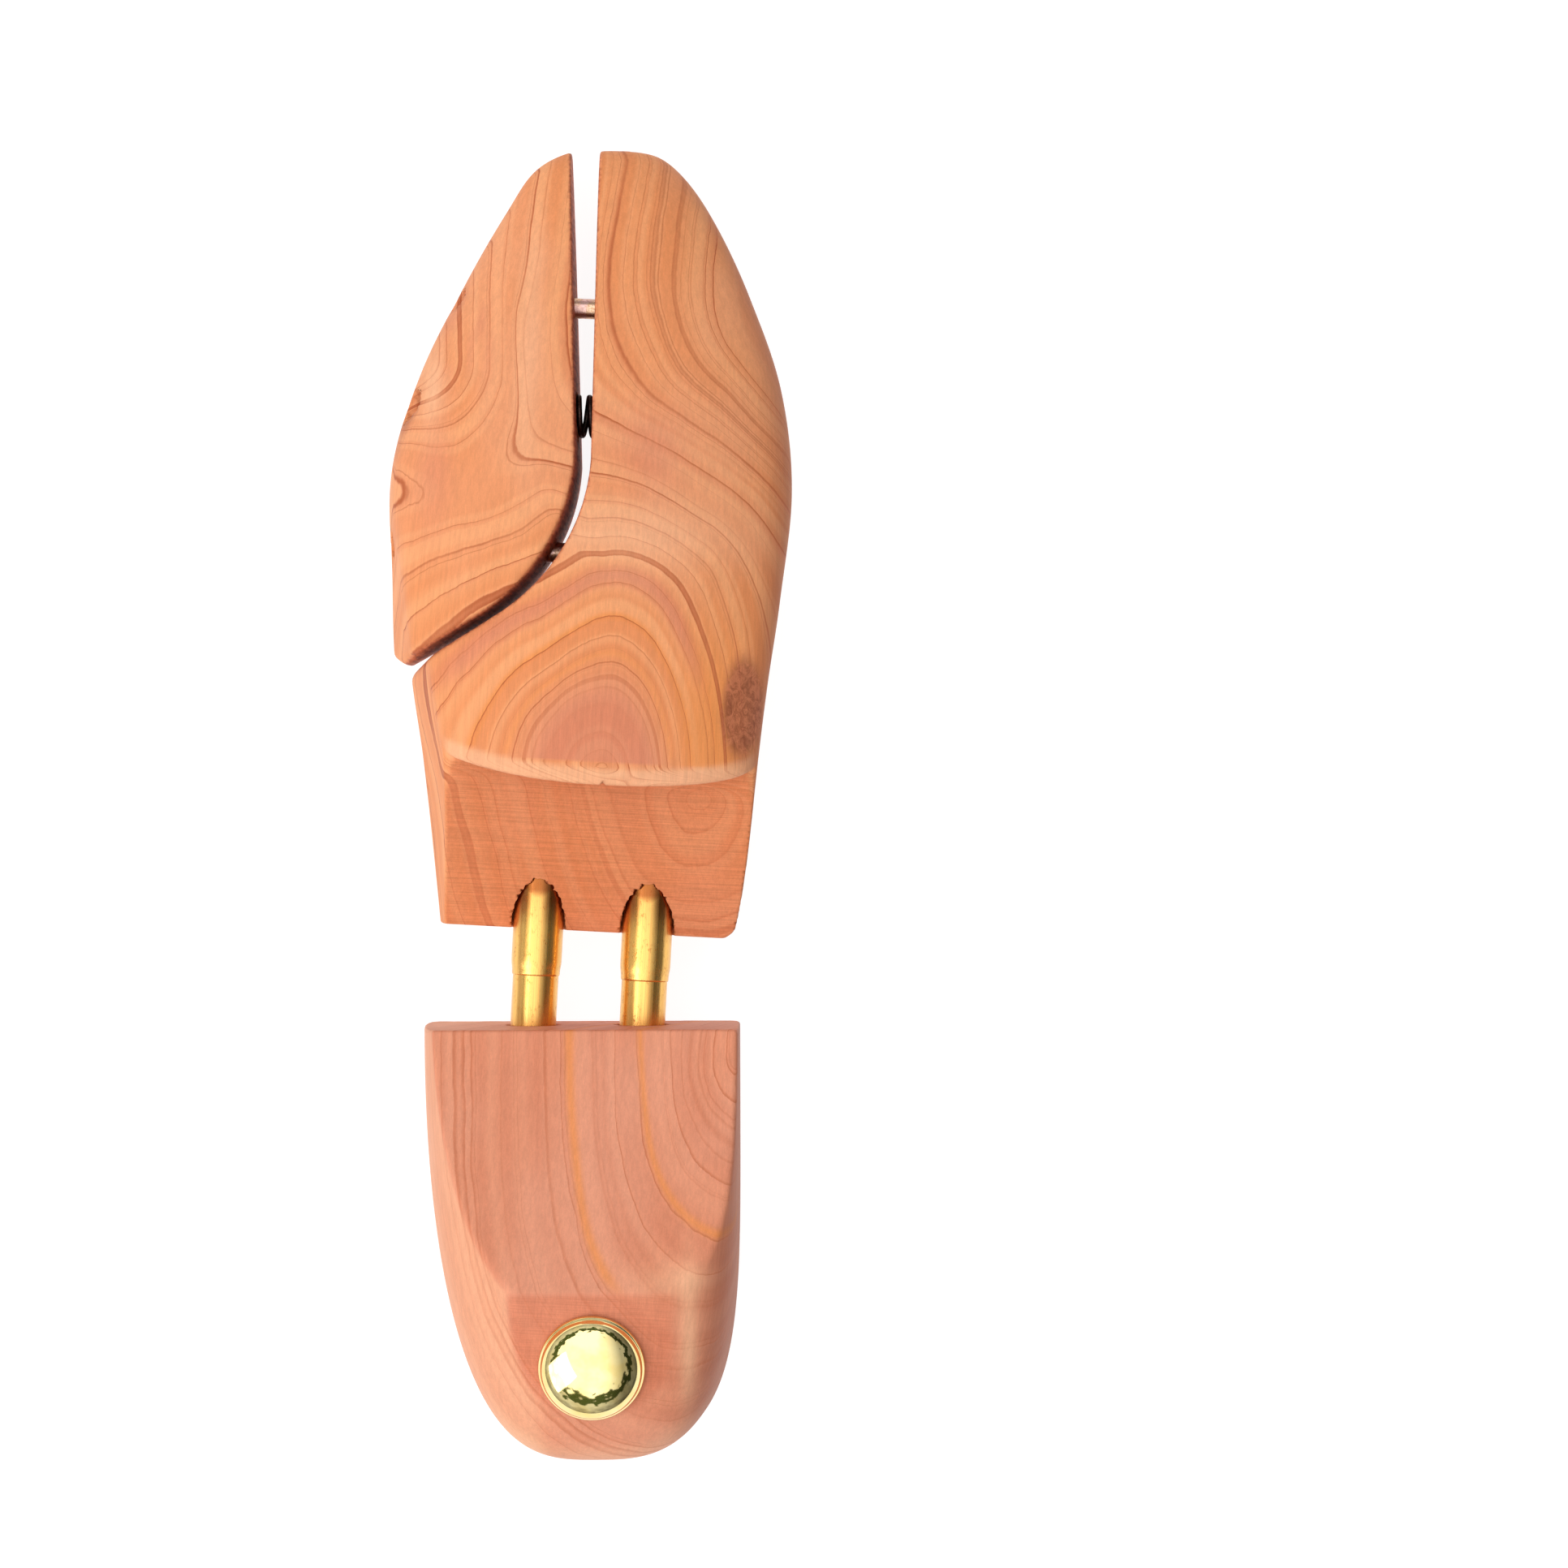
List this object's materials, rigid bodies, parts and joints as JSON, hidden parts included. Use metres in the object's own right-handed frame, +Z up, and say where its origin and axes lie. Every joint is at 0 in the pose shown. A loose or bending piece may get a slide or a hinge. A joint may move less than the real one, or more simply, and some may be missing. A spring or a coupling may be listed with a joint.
{
  "type": "shoe tree",
  "caption": "Left-foot cedar shoe tree: sprung split-toe forefoot and heel block joined by telescoping brass tubes, with a brass knob on the heel to pull it out by.",
  "frame": {"origin": "on the sole plane, under the middle of the tree's bounding box, with the springs extended", "axes": "+Y along the tubes from heel to toe, +X to the medial (inner) side of the left foot, +Z up from the sole"},
  "size_m": [0.0883, 0.2849, 0.0543],
  "materials": {
    "cedar": "sanded, unfinished, satin",
    "brass_tube": "drawn tube, satin, lengthwise lines",
    "polished_brass": "mirror polished",
    "zinc_steel": "yellow zinc plated",
    "black_spring": "black oxide, oiled",
    "plain_steel": "plain drawn steel"
  },
  "bodies": {
    "forefoot": {"forefoot_block": "cedar", "front_guide_pin": "zinc_steel", "rear_guide_pin": "zinc_steel", "toe_spring": "black_spring", "outer_tube_lateral": "brass_tube", "outer_tube_medial": "brass_tube", "tube_spring_lateral": "plain_steel", "tube_spring_medial": "plain_steel", "spring_seat_lateral": "plain_steel", "spring_seat_medial": "plain_steel", "outer_tube_pin_lateral": "plain_steel", "outer_tube_pin_medial": "plain_steel"},
    "wing": {"toe_wing": "cedar"},
    "heel": {"heel_block": "cedar", "inner_tube_lateral": "brass_tube", "inner_tube_medial": "brass_tube", "inner_tube_pin_lateral": "plain_steel", "inner_tube_pin_medial": "plain_steel", "heel_knob_cap": "polished_brass", "heel_knob_plate": "plain_steel", "heel_knob_screw": "plain_steel"}
  },
  "joints": [
    {"name": "heel_slide", "type": "slide", "parent": "forefoot", "child": "heel", "axis": [0, 1, 0], "range_m": [0, 0.017], "stiffness_N_per_m": 2000, "springref_m": -0.01, "deforming": ["tube_spring_lateral", "tube_spring_medial"]},
    {"name": "wing_slide", "type": "slide", "parent": "forefoot", "child": "wing", "axis": [1, 0, 0], "range_m": [0, 0.0028], "stiffness_N_per_m": 3000, "springref_m": -0.003, "deforming": ["toe_spring"]}
  ]
}
